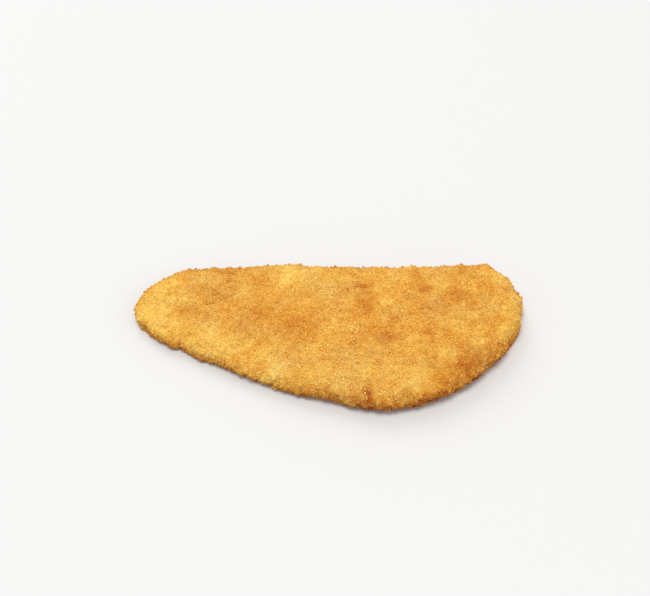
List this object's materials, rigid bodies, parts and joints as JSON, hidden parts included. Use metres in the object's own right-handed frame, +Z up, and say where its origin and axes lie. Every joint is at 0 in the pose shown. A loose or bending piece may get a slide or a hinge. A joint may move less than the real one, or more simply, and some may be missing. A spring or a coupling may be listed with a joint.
{
  "type": "fried fish fillet",
  "caption": "Whole breaded fish fillet, fried golden, lying flat: a thin tail end, a blunt thick head end and a straight back edge.",
  "frame": {"origin": "middle of the fillet's box, on the surface that it lies on", "axes": "+Z up, +X along the fillet from the thin tail to the thick head end, +Y towards the straight back edge"},
  "size_m": [0.2086, 0.0977, 0.018],
  "materials": {
    "crust": "golden brown fried breadcrumbs, rough and matt with small oily glints"
  },
  "bodies": {
    "root": {"fillet": "crust"}
  },
  "joints": []
}
